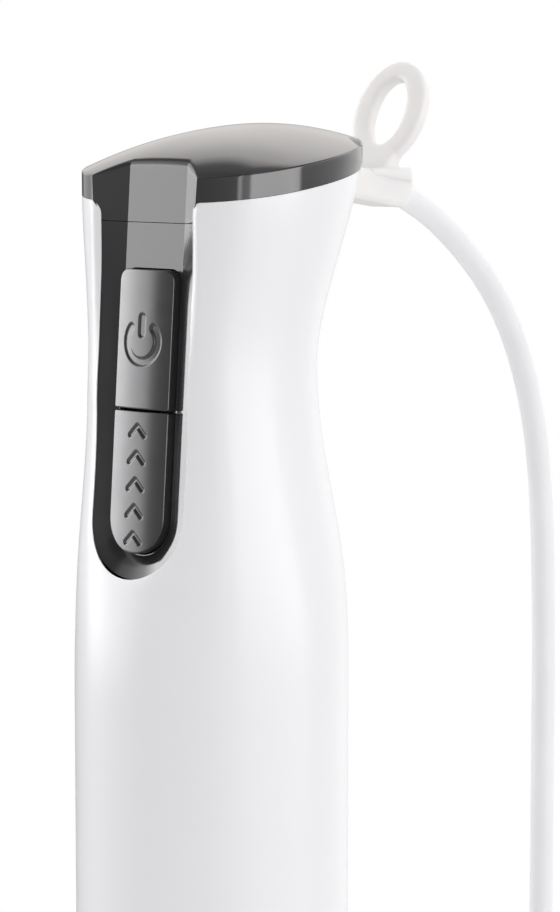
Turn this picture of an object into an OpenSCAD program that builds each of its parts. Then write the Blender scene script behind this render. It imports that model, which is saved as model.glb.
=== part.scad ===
// Immersion blender with a detachable steel foot, in millimetres.
// The origin is on the drive axis in the plane of the bell's rim. +Z is up, the buttons face -Y.

/* [Handle] */
// Diameter of the round lower handle
handle_d = 62; // [61:0.5:63]
// Width across the waist behind the buttons
waist_w = 49; // [48.5:0.5:50]
// Reach of the waist behind the drive axis
waist_back = 22.8; // [22.6:0.1:23.4]
// Reach of the waist in front of the drive axis
waist_front = 24.7; // [24.4:0.1:25]
// Height of the waist above the bell's rim
waist_z = 343; // [342:0.5:344]
// Wall of the white shell and of the cap
wall = 2.2; // [2:0.1:2.4]

/* [Cap] */
// Width of the handle at the cap
top_w = 59.4; // [59:0.2:60]
// Reach of the cap behind the drive axis
top_back = 38.6; // [38.2:0.2:39]
// Reach of the cap in front of the drive axis
top_front = 24.2; // [24:0.1:24.5]
// Height of the seam under the cap, on the drive axis
seam_z = 382.9; // [382.5:0.1:383.3]
// Height of the cap's upright band
band_h = 5.5; // [5:0.1:6]
// Rise of the cap's dome over its crease
dome_h = 7; // [6.5:0.1:7.5]
// Rise of the seam towards the back, per millimetre
seam_slope = 0.1335; // [0.12:0.0005:0.14]

/* [Controls] */
// Width of the opening in the shell for the control panel
opening_w = 26.9; // [26.6:0.1:27.2]
// Width of the panel's flat floor
floor_w = 16.8; // [16.6:0.1:17]
// Width of the two buttons
button_w = 15.8; // [15.6:0.1:16]
// How far the buttons stand above the floor at their sides
button_rise = 2.1; // [1.8:0.1:2.3]
// How far the buttons are pressed in
button_travel = 1.2; // [1:0.1:1.3]

/* [Foot] */
// Radius of the spigot that enters the handle
spigot_r = 20; // [19.9:0.1:20]
// Diameter of the steel tube at its waist
tube_d = 24; // [23.5:0.5:24.5]
// Diameter of the bell's rim
bell_d = 68; // [67:0.5:69]
// Wall of the steel bell
bell_wall = 1.2; // [1:0.1:1.3]
// Diameter swept by the blade
blade_d = 50; // [46:1:52]

/* [Cord] */
// Diameter of the power cord
cord_d = 6; // [5.6:0.1:6.2]
// Mean diameter of the coil on the table
coil_d = 66; // [64:1:68]

/* [Hidden] */
$fn = 64;
gap = 0.1;
fit = 0.05;
around = 48;
handle_r = handle_d / 2;
panel_tilt = atan(0.075);
panel_y = -21.04;
panel_z = 334;
opening_bottom = -37.1;
strip_seam = 41.7;
power_top = 30.8;
turbo_bottom = -31.5;
button_gap = 0.25;
button_crown = 1;
mark_v = 15;
mark_r = 5.3;
mark_w = 1.7;
chevron_pitch = 5.9;
panel_t = 2.2;
board_y = 8;
shaft_r = 3;
drive_r = 2.5;
motor_z = 250;
core_h = 28;
joint_z = 176;
collar_h = 5.9;
hub_z = 148;
hub_rim_r = 30.2;
spigot_top = 197.5;
pillar_r = 22.6;
release_z = 195;
window_sill = 1.8;
blade_z = 9.6;
boot_y = 37.5;
boot_z = 383.65;
boot_h = 7.4;
boot_drop = 9;
boot_len = 28;
boot_w = 12.5;
saddle_top = 387.6;
neck_w = 10.6;
neck_d = 6;
ring_y = 65.2;
ring_z = 398;
ring_lean = 25;
ring_w = 20.2;
ring_h = 26.6;
ring_band = 5.1;
ring_t = 3.6;
cord_r = cord_d / 2;
coil_r = coil_d / 2 + cord_r;
coil_x = -coil_r;
coil_y = 103;
cord_route = [[0, 65.2, 379.3], [0, 69.9, 378.4], [0, 74.7, 376.5], [0, 79.4, 374.3], [0, 86.3, 370.3],
              [0, 94.9, 364.2], [0, 104.1, 356.2], [0, 112, 347], [0, 118, 337], [0, 123, 325],
              [0, 126.5, 311], [0, 128.5, 295], [0, 129.5, 277], [0, 130, 257], [0, 130, 237],
              [0, 130, 217], [0, 130, 197], [0, 130, 177], [0, 130, 157], [0, 130, 137],
              [0, 130, 117], [0, 130, 97], [0, 130, 77], [0, 130, 60], [0, 129.6, 48],
              [0, 128, 37], [0, 124.5, 27], [0, 119, 18.5], [0, 112, 12.5], [0, 103, 9.2]];
tail_route = [[-72, 103, 3.2], [-72, 112, 3.2], [-71.6, 124, 3.6], [-70.6, 136, 4.8], [-69, 147, 6.3],
              [-67, 157, 7]];
plug_turn = 11;

// ---- curves of the handle ----

// A smooth step from 0 to 1 while z goes from z0 to z1.
function ease(z, z0, z1) = (1 - cos(180 * min(max((z - z0) / (z1 - z0), 0), 1))) / 2;
// A hyperbola that leaves the waist slowly and then opens at a steady slope.
function flare(t) = (sqrt(1 + pow(4 * max(t, 0), 2)) - 1) / (sqrt(17) - 1);

function side_at(z) = handle_r - (handle_r - waist_w / 2) * ease(z, 275, waist_z)
    + (top_w - waist_w) / 2 * ease(z, waist_z, 385);
function back_at(z) = handle_r - (handle_r - waist_back) * ease(z, 290, waist_z)
    + (top_back - waist_back) * flare((z - waist_z) / 42);
function front_at(z) = handle_r - (handle_r - waist_front) * ease(z, 270, 335)
    - (waist_front - top_front) * ease(z, 335, 385);
function squareness_at(z) = 2 + ease(z, 275, waist_z) - 0.6 * ease(z, waist_z, 385);

function power(v, e) = sign(v) * pow(abs(v), e);
// A point of the handle's outline at height z and angle a, moved in by the inset.
function outline(z, a, inset) = let (front = sin(a) < 0, e = 2 / (front ? squareness_at(z) : 2))
    [(side_at(z) - inset) * power(cos(a), e),
     ((front ? front_at(z) : back_at(z)) - inset) * power(sin(a), e)];
// One ring of the handle, tilted like the cap's seam by the given share.
function ring(z, tilt, inset) = [for (i = [0:around - 1]) let (a = 360 * i / around,
    rough = outline(z, a, inset), rise = tilt * seam_slope * rough.y, p = outline(z + rise, a, inset))
    [p.x, p.y, z + rise]];
// One ring of the dome: share 1 is the crease and 0 is the crown.
function dome_ring(share, inset) = let (edge = ring(seam_z + band_h, 1, inset),
    middle = [0, (top_back - top_front) / 2])
    [for (p = edge) let (x = p.x * share, y = middle.y + (p.y - middle.y) * share)
    [x, y, seam_z + band_h - inset + seam_slope * y + dome_h * (1 - share * share)]];
// Rings of the handle's upper part, from the given height up to the dome's last ring.
function upper_rings(z0, inset) = concat(
    [for (i = [0:14]) let (t = i / 14) ring(z0 + (seam_z - 1.5 - z0) * t, t * t * t, inset)],
    [ring(seam_z + band_h / 2, 1, inset), ring(seam_z + band_h - inset, 1, inset)],
    [for (i = [1:8]) dome_ring(cos(90 * i / 9), inset)]);

// Joins rings of equal length into a skin. A loop of rings closes on itself, otherwise both ends
// are closed by a fan around their middles.
function flat(rings) = [for (r = rings) for (p = r) p];
function walls(rows, n, loop) = [for (i = [0:rows - (loop ? 1 : 2)]) for (j = [0:n - 1])
    let (a = i * n + j, b = i * n + (j + 1) % n, u = ((i + 1) % rows) * n)
    each [[a, u + (j + 1) % n, b], [a, u + j, u + (j + 1) % n]]];
function middle_of(r) = [for (k = [0:2]) (min([for (p = r) p[k]]) + max([for (p = r) p[k]])) / 2];
function fan(first, n, hub, up) = [for (j = [0:n - 1]) up ? [hub, first + (j + 1) % n, first + j]
    : [hub, first + j, first + (j + 1) % n]];
module skin(rings, loop = false) {
    n = len(rings[0]);
    rows = len(rings);
    total = n * rows;
    if (loop)
        polyhedron(flat(rings), walls(rows, n, true));
    else
        polyhedron(concat(flat(rings), [middle_of(rings[0]), middle_of(rings[rows - 1])]),
            concat(walls(rows, n, false), fan(0, n, total, false), fan(total - n, n, total + 1, true)));
}

// ---- the control panel's frame: X across, Z up its floor, -Y out of it ----

module on_panel() {
    translate([0, panel_y, panel_z])
        rotate([-panel_tilt, 0, 0])
            children();
}

// A plate with a round lower end, from y0 to y1 in the panel's frame.
module u_plate(half, bottom, top, y0, y1) {
    translate([0, y1, 0])
        rotate([90, 0, 0])
            linear_extrude(y1 - y0) {
                translate([0, bottom + half])
                    circle(r = half);
                translate([-half, bottom + half])
                    square([2 * half, top - bottom - half]);
            }
}

// Depth of the shell's surface in front of the floor, limited where the trough enters the cap.
function edge_depth(x, v) = let (z = panel_z + v * cos(panel_tilt), n = squareness_at(z),
    y = -front_at(z) * pow(1 - pow(abs(x) / side_at(z), n), 1 / n))
    min((panel_y - y) * cos(panel_tilt) + (z - panel_z) * sin(panel_tilt), 3.35);
// The panel's outline as a path of points: down one side, round the end and up the other.
function u_path(r, top) = let (c = opening_bottom + opening_w / 2) concat(
    [for (i = [0:9]) [-r, top - (top - c) * i / 9]],
    [for (i = [1:11]) [-r * cos(15 * i), c - r * sin(15 * i)]],
    [for (i = [0:9]) [r, c + (top - c) * i / 9]]);
// The trough: walls rise from the floor's edge through the edge of the opening.
module trough() {
    reach = 24;
    low = u_path(floor_w / 2, 70);
    edge = u_path(opening_w / 2, 70);
    far = [for (i = [0:len(low) - 1]) let (k = reach / edge_depth(edge[i].x, edge[i].y))
        low[i] + (edge[i] - low[i]) * k];
    on_panel()
        skin([[for (p = low) [p.x, 0, p.y]], [for (p = far) [p.x, -reach, p.y]]]);
}

// The whole upper handle as one solid, from which the cap and the panel are cut.
module upper_solid() {
    skin(upper_rings(292, 0));
}

// A slab above the cap's seam, raised by dz.
module above_seam(dz) {
    translate([0, 0, seam_z + dz])
        rotate([atan(seam_slope), 0, 0])
            translate([-50, -60, 0])
                cube([100, 120, 40]);
}

// ---- the handle's shell, cap and panel ----

module body_shell() {
    foot_z = joint_z + 6;
    shell_rings = concat(
        [for (z = [foot_z, 222, 262]) ring(z, 0, 0)],
        [for (i = [0:16]) let (t = i / 16) ring(274 + (seam_z - gap - 274) * t, t * t * t, 0)],
        [for (i = [16:-1:0]) let (t = i / 16) ring(274 + (seam_z - gap - 274) * t, t * t * t, wall)],
        [for (z = [262, 222, foot_z]) ring(z, 0, wall)]);
    color("white")
        difference() {
            skin(shell_rings, true);
            on_panel()
                u_plate(opening_w / 2, opening_bottom, 70, -30, 7);
            trough();
            boot_root(0.15);
            for (side = [-1, 1])
                release_block(side, 6.3, 8.3, 22, 40);
        }
}

module top_cap() {
    color("dimgray")
        difference() {
            intersection() {
                upper_solid();
                union() {
                    above_seam(0.05);
                    on_panel()
                        u_plate(opening_w / 2 - gap, strip_seam, 60, -30, panel_t);
                }
            }
            on_panel()
                translate([-60, -40, -60])
                    cube([120, 80, 60 + strip_seam]);
            trough();
            difference() {
                skin(upper_rings(350, wall));
                on_panel()
                    translate([-19, -40, strip_seam - 2])
                        cube([38, 40 + panel_t, 40]);
            }
        }
}

module control_bezel() {
    color("dimgray")
        difference() {
            intersection() {
                upper_solid();
                on_panel()
                    u_plate(opening_w / 2 - gap, opening_bottom + gap, strip_seam - 0.15, -30, panel_t);
            }
            trough();
            on_panel()
                u_plate(button_w / 2 + 0.3, turbo_bottom - 0.3, power_top + 0.3, -5, panel_t + 1);
        }
}

// ---- buttons ----

// The crowned block of a button between v0 and v1, with a round or a square lower end.
module button_block(half, v0, v1, y0, y1, end_round) {
    if (end_round)
        u_plate(half, v0, v1, y0, y1);
    else
        translate([-half, y0, v0])
            cube([2 * half, y1 - y0, v1 - v0]);
}

module crown() {
    r = (pow(button_w / 2, 2) + pow(button_crown, 2)) / (2 * button_crown);
    translate([0, r - button_rise - button_crown, -60])
        cylinder(r = r, h = 120, $fn = 128);
}

// Height of a button's stem and of its spring above the board.
function stem_v(is_power) = is_power ? 16 : -15;

module button(is_power) {
    v0 = is_power ? button_gap : turbo_bottom;
    v1 = is_power ? power_top : -button_gap;
    half = button_w / 2;
    flange = panel_t + gap;
    difference() {
        intersection() {
            difference() {
                button_block(half, v0, v1, -5, flange, !is_power);
                if (is_power)
                    for (side = [-1, 1])
                        translate([side * half, -6, v1])
                            rotate([0, 45, 0])
                                translate([-1.1, 0, -1.1])
                                    cube([2.2, 9, 2.2]);
            }
            crown();
        }
        if (is_power)
            standby_mark();
        else
            chevrons();
    }
    button_block(half + 1.2, v0 - (is_power ? 0 : 1.2), v1 + (is_power ? 1.2 : 0), flange,
        flange + 1.2, !is_power);
    translate([0, flange + 1.2, stem_v(is_power)])
        rotate([-90, 0, 0])
            cylinder(r = 1.4, h = 2.2);
}

// A broken ring with an upright bar, sunk into the power button.
module standby_mark() {
    translate([0, -2.5, mark_v]) {
        difference() {
            rotate([90, 0, 0])
                cylinder(r = mark_r, h = 3);
            translate([0, 1, 0])
                rotate([90, 0, 0])
                    cylinder(r = mark_r - mark_w, h = 5);
            rotate([0, 45, 0])
                translate([0, -4, 0])
                    cube([8, 5, 8]);
        }
        translate([-mark_w / 2, -3, 0.95])
            cube([mark_w, 3, mark_r - 0.1]);
    }
}

// Five arrow heads that point to the power button, sunk into the turbo button.
module chevrons() {
    for (i = [0:4])
        translate([0, -2.6, -3 - chevron_pitch * i])
            for (side = [-1, 1])
                rotate([0, side * 45, 0])
                    translate([side > 0 ? 0 : -3.2, -3, -1])
                        cube([3.2, 3, 1]);
}

module power_button() {
    color("dimgray")
        on_panel()
            button(true);
}

module turbo_button() {
    color("dimgray")
        on_panel()
            button(false);
}

// A compression spring drawn as its sleeve, along +Z from 0.
module spring_sleeve(r, wire, h) {
    rotate_extrude()
        translate([r - wire, 0])
            square([wire, h]);
}

module button_spring(is_power) {
    flange = panel_t + gap + 1.2;
    color("silver")
        on_panel()
            translate([0, flange + fit, stem_v(is_power)])
                rotate([-90, 0, 0])
                    spring_sleeve(2.7, 0.7, 1.6);
}

module power_button_spring() {
    button_spring(true);
}

module turbo_button_spring() {
    button_spring(false);
}

// ---- release buttons on both sides above the joint ----

// A block with round upper and lower ends that points along X on one side of the handle.
module release_block(side, half, tall, x0, x1) {
    translate([side > 0 ? x0 : -x1, 0, release_z])
        rotate([0, 90, 0])
            linear_extrude(x1 - x0) {
                for (v = [-1, 1])
                    translate([v * (tall - half), 0])
                        circle(r = half);
                square([2 * (tall - half), 2 * half], center = true);
            }
}

module release_button(side) {
    color("dimgray") {
        intersection() {
            release_block(side, 6, 8, 26.8, 34);
            cylinder(r = handle_r + 1.3, h = 300, $fn = 128);
        }
        release_block(side, 7.2, 9.2, 25.6, 26.9);
        translate([side * 25.7, 0, release_z])
            rotate([0, -90 * side, 0])
                cylinder(r = 1.4, h = 3.2);
    }
}

module release_button_left() {
    release_button(-1);
}

module release_button_right() {
    release_button(1);
}

module release_spring(side) {
    color("silver")
        translate([side * 25.55, 0, release_z])
            rotate([0, -90 * side, 0])
                spring_sleeve(3.4, 0.8, 2.7);
}

module release_spring_left() {
    release_spring(-1);
}

module release_spring_right() {
    release_spring(1);
}

// ---- strain relief, hanging loop and cord ----

// The strain relief's own frame: its axis runs along +Y and drops towards the back.
module on_boot() {
    translate([0, boot_y, boot_z])
        rotate([-boot_drop, 0, 0])
            children();
}

// A bar with round long edges along +Y.
module round_bar(w, h, r, y0, y1) {
    translate([0, y0, 0])
        rotate([-90, 0, 0])
            linear_extrude(y1 - y0) {
                for (x = [-1, 1], z = [-1, 1])
                    translate([x * (w / 2 - r), z * (h / 2 - r)])
                        circle(r = r);
                square([w - 2 * r, h], center = true);
                square([w, h - 2 * r], center = true);
            }
}

module boot_root(grow) {
    on_boot()
        round_bar(boot_w + 2 * grow, boot_h + 2 * grow, 1.6 + grow, -5.3, 6);
}

module strain_relief() {
    color("whitesmoke")
        on_boot() {
            difference() {
                union() {
                    round_bar(boot_w, boot_h, 1.6, -5.3, boot_len);
                    round_bar(boot_w + 5, 11, 2, -7.4, -5.2);
                }
                clamp_holes(1.45);
            }
        }
}

// The loop's saddle lies on the strain relief, and its ring leans back.
module hanging_loop() {
    color("whitesmoke")
        difference() {
            union() {
                translate([0, ring_y, ring_z])
                    rotate([-ring_lean, 0, 0]) {
                        rotate([90, 0, 0])
                            linear_extrude(ring_t, center = true)
                                difference() {
                                    oval(ring_w / 2, ring_h / 2);
                                    oval(ring_w / 2 - ring_band, ring_h / 2 - ring_band);
                                }
                        translate([-neck_w / 2, -neck_d / 2, -16.5])
                            cube([neck_w, neck_d, 6.5]);
                    }
                translate([0, 0, saddle_top - 3.5])
                    round_bar(boot_w - 0.1, 7, 0.9, 50, 66.8);
            }
            on_boot()
                translate([-10, 5, -20])
                    cube([20, 30, 20 + boot_h / 2 + 0.02]);
        }
}

// A flat oval with round ends above and below.
module oval(half, tall) {
    for (v = [-1, 1])
        translate([0, v * (tall - half)])
            circle(r = half);
    square([2 * half, 2 * (tall - half)], center = true);
}

// A tube swept through a route by turning a ring of points at every point of it.
function unit(v) = v / norm(v);
function heading(route, i) = unit(route[min(i + 1, len(route) - 1)] - route[max(i - 1, 0)]);
function tube_ring(centre, along, side, r, n) = let (up = cross(side, along))
    [for (j = [0:n - 1]) centre + r * (cos(360 * j / n) * side + sin(360 * j / n) * up)];
module tube(route, r, side = [1, 0, 0], n = 10) {
    skin([for (i = [0:len(route) - 1]) let (along = heading(route, i),
        across = unit(side - (side * along) * along)) tube_ring(route[i], along, across, r, n)]);
}

module power_cord() {
    color("white")
        tube(cord_route, cord_r);
}

module cord_tail() {
    color("white")
        tube(tail_route, cord_r);
}

// The turns lie in two layers, and are drawn as the outer shape of the coil.
module cord_coil() {
    color("white")
        translate([coil_x, coil_y, 0.1])
            rotate_extrude($fn = 96)
                for (v = [cord_r, 3 * cord_r]) {
                    for (u = [coil_r - cord_d, coil_r])
                        translate([u, v])
                            circle(r = cord_r);
                    translate([coil_r - cord_d, v - cord_r])
                        square([cord_d, cord_d]);
                    if (v == cord_r)
                        translate([coil_r - cord_d - cord_r, cord_r])
                            square([4 * cord_r, cord_d]);
                }
}

// The plug's own frame starts at the end of the tail and lies flat on the table.
module on_plug() {
    translate(tail_route[len(tail_route) - 1])
        rotate([0, 0, -plug_turn])
            children();
}

module plug_body() {
    plug_h = 13.4;
    color("white")
        on_plug() {
            rotate([-90, 0, 0])
                cylinder(r1 = 4.2, r2 = 5.4, h = 12);
            translate([0, 0, -plug_h / 2])
                linear_extrude(plug_h)
                    polygon([[-6, 9], [6, 9], [17.6, 26], [17.6, 42], [-17.6, 42], [-17.6, 26]]);
        }
}

module plug_pins() {
    color("silver")
        on_plug()
            for (x = [-9.3, 9.3])
                translate([x, 42.02, 0])
                    rotate([-90, 0, 0]) {
                        cylinder(r = 2, h = 17.5);
                        translate([0, 0, 17.5])
                            cylinder(r1 = 2, r2 = 1.2, h = 1.5);
                    }
}

// ---- motor ----

// A disc with a hole, from z0 to z1.
module washer(r_out, r_in, z0, z1) {
    translate([0, 0, z0])
        rotate_extrude()
            translate([r_in, 0])
                square([r_out - r_in, z1 - z0]);
}

// Repeats its children on both sides, turned by half a turn.
module both_ends() {
    for (turn = [0, 180])
        rotate([0, 0, turn])
            children();
}

module stator_core() {
    color("silver")
        difference() {
            washer(25.5, 15.4, motor_z - core_h / 2, motor_z + core_h / 2);
            both_ends()
                translate([14, -10, motor_z - core_h])
                    cube([8, 20, 2 * core_h]);
        }
}

module field_coils() {
    color("peru")
        both_ends()
            translate([16.2, -9.6, motor_z - core_h / 2 - 5])
                cube([5.4, 19.2, core_h + 10]);
}

// A motor bracket: a disc with air holes, a bearing housing and two pillars that grip the core.
module bracket(r, z0, z1, house0, house1, pillar0, pillar1) {
    difference() {
        union() {
            translate([0, 0, z0])
                cylinder(r = r, h = z1 - z0);
            translate([0, 0, house0])
                cylinder(r = 8, h = house1 - house0);
            both_ends()
                translate([0, pillar_r, pillar0])
                    cylinder(r = 2.2, h = pillar1 - pillar0);
        }
        translate([0, 0, house0 - 1])
            cylinder(r = 5.52, h = house1 - house0 + 2);
        for (turn = [45:90:315])
            rotate([0, 0, turn])
                translate([17, 0, z0 - 1])
                    cylinder(r = 5, h = z1 - z0 + 2);
        both_ends()
            translate([0, pillar_r, min(z0, pillar0) - 1])
                cylinder(r = 1.25, h = 90);
    }
}

module lower_bracket() {
    color("black")
        bracket(26.9, 214, 219, 210, 219, 218, motor_z - core_h / 2 - 0.02);
}

module upper_bracket() {
    color("black")
        bracket(25.4, 286, 290, 285, 293, motor_z + core_h / 2 + 0.02, 287);
}

module lower_damper() {
    color("black")
        washer(28.6, 26.95, 214.5, 218.5);
}

module upper_damper() {
    color("black")
        washer(26.9, 25.45, 286.3, 289.7);
}

module lower_bearing() {
    color("goldenrod")
        washer(5.5, shaft_r + fit, 211, 218);
}

module upper_bearing() {
    color("goldenrod")
        washer(5.5, shaft_r + fit, 286, 293);
}

module brush_holders() {
    color("goldenrod")
        both_ends()
            difference() {
                translate([11.5, -4, 273.5])
                    cube([12.5, 8, 8]);
                translate([11, -3.1, 274.4])
                    cube([12, 6.2, 6.2]);
            }
}

module carbon_brushes() {
    color("black")
        both_ends()
            translate([9.4, -3, 274.5])
                cube([8, 6, 6]);
}

module brush_springs() {
    color("silver")
        both_ends()
            translate([17.5, 0, 277.5])
                rotate([0, 90, 0])
                    spring_sleeve(2.4, 0.7, 5.3);
}

module motor_shaft() {
    color("silver")
        translate([0, 0, 198.5])
            cylinder(r = shaft_r, h = 95.5);
}

module armature_core() {
    slots = 12;
    color("gray")
        difference() {
            washer(14.9, shaft_r + 0.02, motor_z - core_h / 2, motor_z + core_h / 2);
            for (i = [0:slots - 1])
                rotate([0, 0, 360 * i / slots])
                    translate([11, -0.8, motor_z - core_h])
                        cube([5, 1.6, 2 * core_h]);
        }
}

module armature_windings() {
    color("peru")
        for (z = [motor_z - core_h / 2 - 4.6, motor_z + core_h / 2 + 0.02])
            washer(13.4, shaft_r + 0.02, z, z + 4.58);
}

module commutator() {
    bars = 24;
    color("chocolate")
        difference() {
            washer(9, shaft_r + 0.02, 271, 283);
            for (i = [0:bars - 1])
                rotate([0, 0, 360 * i / bars])
                    translate([8.2, -0.2, 272.5])
                        cube([2, 0.4, 11]);
        }
}

module cooling_fan() {
    vanes = 10;
    color("white") {
        washer(6, shaft_r + 0.02, 221.5, 229.5);
        washer(19.4, 5.5, 221.5, 223);
        for (i = [0:vanes - 1])
            rotate([0, 0, 360 * i / vanes])
                translate([5.5, -0.6, 222.5])
                    cube([13.6, 1.2, 7]);
    }
}

// A hexagonal prism with the given distance across its flats.
module hex_prism(across, z0, z1) {
    translate([0, 0, z0])
        cylinder(r = across / sqrt(3), h = z1 - z0, $fn = 6);
}

module drive_coupler() {
    color("black")
        difference() {
            translate([0, 0, 186])
                cylinder(r = 7.8, h = 19);
            hex_prism(9.4, 180, 197.5);
            translate([0, 0, 190])
                cylinder(r = shaft_r + 0.02, h = 30);
        }
}

module motor_screws() {
    color("silver")
        both_ends()
            translate([0, pillar_r, 268]) {
                cylinder(r = 1.2, h = 22.1);
                translate([0, 0, 22.02])
                    cylinder(r = 2.6, h = 1.8);
            }
}

// ---- control electronics ----

module circuit_board() {
    color("green")
        on_panel()
            translate([-12, board_y, -33])
                cube([24, 1.6, 67]);
}

// A push switch whose bore takes a button's stem.
module push_switch(v) {
    on_panel()
        difference() {
            translate([-4, 5.3, v - 4])
                cube([8, board_y - 5.32, 8]);
            translate([0, 5, v])
                rotate([-90, 0, 0])
                    cylinder(r = 1.75, h = button_travel + 1.4);
        }
}

module power_switch() {
    color("black")
        push_switch(stem_v(true));
}

module turbo_switch() {
    color("black")
        push_switch(stem_v(false));
}

module capacitor() {
    color("gold")
        on_panel()
            translate([0, board_y + 8, -6])
                cylinder(r = 6, h = 20);
}

module mains_leads() {
    color("saddlebrown")
        for (x = [-2.2, 2.2])
            tube([[x, 29.7, 384.8], [x, 24, 385.4], [x, 15, 383.5], [x, 7, 378], [x, 1, 370],
                [x, -4, 364], [x, -9, 361]], 0.9, n = 8);
}

module motor_leads() {
    color("firebrick")
        for (x = [-1, 1])
            tube([[x * 6, -13.1, 307.4], [x * 8, -9, 305], [x * 11, -10, 299], [x * 12, -12, 292],
                [x * 12, -12, 285], [x * 13.5, -8, 282.6], [x * 16, -2, 282.6]], 0.8, n = 8);
}

module clamp_holes(r) {
    for (x = [-6.9, 6.9])
        translate([x, -20, 0])
            rotate([-90, 0, 0])
                cylinder(r = r, h = 16);
}

module cord_clamp() {
    color("white")
        on_boot()
            difference() {
                round_bar(17.5, 11, 2, -10, -7.42);
                clamp_holes(1.45);
                translate([-4, -12, -2])
                    cube([8, 6, 4]);
            }
}

module clamp_screws() {
    color("silver")
        on_boot()
            for (x = [-6.9, 6.9])
                translate([x, -12, 0])
                    rotate([-90, 0, 0]) {
                        cylinder(r = 2.4, h = 1.98);
                        cylinder(r = 1.4, h = 6.6);
                    }
}

// ---- socket for the foot ----

module socket_collar() {
    color("dimgray")
        difference() {
            union() {
                translate([0, 0, joint_z])
                    cylinder(r = handle_r, h = collar_h);
                translate([0, 0, joint_z + 5])
                    cylinder(r = handle_r - wall - gap, h = 4);
                translate([0, 0, joint_z + 5])
                    cylinder(r = pillar_r, h = 21);
            }
            translate([0, 0, joint_z - 1])
                cylinder(r = spigot_r + 0.3, h = 24);
            cylinder(r = 9.5, h = 300);
            translate([0, 0, release_z - 1])
                cylinder(r = spigot_r + 1.4, h = 2);
            translate([-2.4, -spigot_r - 1.7, joint_z - 1])
                cube([4.8, 2 * spigot_r + 3.4, 12]);
            translate([-40, 0, release_z])
                rotate([0, 90, 0])
                    cylinder(r = 1.8, h = 80);
        }
}

// A spring ring that snaps into the spigot's groove. The release buttons squeeze it open.
module latch_clip() {
    color("silver")
        translate([0, 0, release_z])
            rotate([0, 0, -70])
                rotate_extrude(angle = 320)
                    translate([20.15, 0])
                        circle(r = 0.55, $fn = 24);
}

// ---- foot ----

module foot_hub() {
    steps = 14;
    top = joint_z - 0.3;
    curve = [for (i = [0:steps]) let (z = hub_z + (172 - hub_z) * i / steps)
        [15.6 + 14.2 * ease(z, hub_z, 173), z]];
    color("white")
        rotate_extrude()
            polygon(concat([[14.55, hub_z], [15.6, hub_z - 0.4]], curve, [[hub_rim_r, top - 0.6],
                [hub_rim_r - 0.6, top], [spigot_r + 0.02, top], [spigot_r + 0.02, 172], [6, 172], [6, 158],
                [14.55, 158]]));
}

// The tube that enters the handle, with a key on each side and a groove for the latch.
module foot_spigot() {
    top = joint_z - 0.3;
    color("white")
        difference() {
            union() {
                rotate_extrude()
                    polygon([[6, 172.02], [spigot_r, 172.02], [spigot_r, spigot_top - 0.5],
                        [spigot_r - 0.5, spigot_top], [10.5, spigot_top], [10.5, 178], [6, 178]]);
                both_ends()
                    translate([-2, 14.5, top + 0.02])
                        cube([4, spigot_r - 13.2, 10]);
            }
            washer(spigot_r + 1, spigot_r - 0.8, release_z - 1, release_z + 1);
        }
}

module foot_tube() {
    steps = 10;
    curve = [for (i = [0:steps]) let (z = 80 + 55 * i / steps)
        [tube_d / 2 + 2.5 * ease(z, 80, 135), z]];
    color("silver")
        rotate_extrude()
            polygon(concat([[tube_d / 2, 44]], curve, [[14.5, 157.9], [13.7, 157.9]],
                [for (i = [steps:-1:0]) curve[i] - [0.8, 0]], [[tube_d / 2 - 0.8, 44]]));
}

module bell_guard() {
    bell_r = bell_d / 2;
    neck = tube_d / 2 + 1.2;
    rise = 30;
    brim = 14;
    bulge = [for (a = [0:7.5:90]) [neck + (bell_r - neck) * sin(a), brim + rise * cos(a)]];
    color("silver")
        difference() {
            rotate_extrude()
                polygon(concat([[neck - 1.17, 56], [neck, 56], [neck, brim + rise + 0.6]], bulge,
                    [[bell_r, 0], [bell_r - bell_wall, 0]],
                    [for (i = [len(bulge) - 1:-1:1]) bulge[i] - bell_wall * [sin(7.5 * i), cos(7.5 * i)]],
                    [[neck - 1.17, brim + rise - bell_wall]]));
            intersection() {
                translate([0, 0, window_sill])
                    cylinder(r = bell_r + 1, h = 20);
                for (turn = [45:90:315])
                    rotate([0, 0, turn])
                        translate([20, 0, -3])
                            rotate([0, 90, 0])
                                cylinder(r = 10, h = 30);
            }
        }
}

module upper_bush() {
    color("goldenrod")
        washer(5.98, drive_r + fit, 160, 177.5);
}

module lower_bush() {
    color("black")
        washer(tube_d / 2 - 0.82, drive_r + fit, 40, 53);
}

module shaft_seal() {
    color("darkred")
        washer(8, drive_r + fit, 37, 39.98);
}

module retaining_ring() {
    color("silver")
        washer(4.6, drive_r + 0.02, 35, 36.3);
}

module drive_shaft() {
    color("silver")
        translate([0, 0, 5.6])
            cylinder(r = drive_r, h = 188.4);
}

module driven_coupler() {
    color("black")
        difference() {
            hex_prism(8.8, 179, 196.5);
            translate([0, 0, 170])
                cylinder(r = drive_r + 0.02, h = 24.2);
        }
}

module blade() {
    color("silver")
        difference() {
            union() {
                translate([0, 0, blade_z])
                    cylinder(r = 5, h = 4.4);
                both_ends() {
                    translate([3, -4.5, blade_z + 0.6])
                        rotate([10, 0, 0])
                            cube([16.5, 9, 1.4]);
                    translate([18.6, -4, blade_z + 0.7])
                        rotate([10, -32, 0])
                            cube([(blade_d / 2 - 18.6) / cos(32) - 1, 8, 1.4]);
                }
            }
            cylinder(r = drive_r + 0.02, h = 30);
        }
}

module blade_nut() {
    color("silver")
        difference() {
            hex_prism(8, 6, blade_z - 0.02);
            cylinder(r = drive_r + 0.02, h = 30);
        }
}

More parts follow.
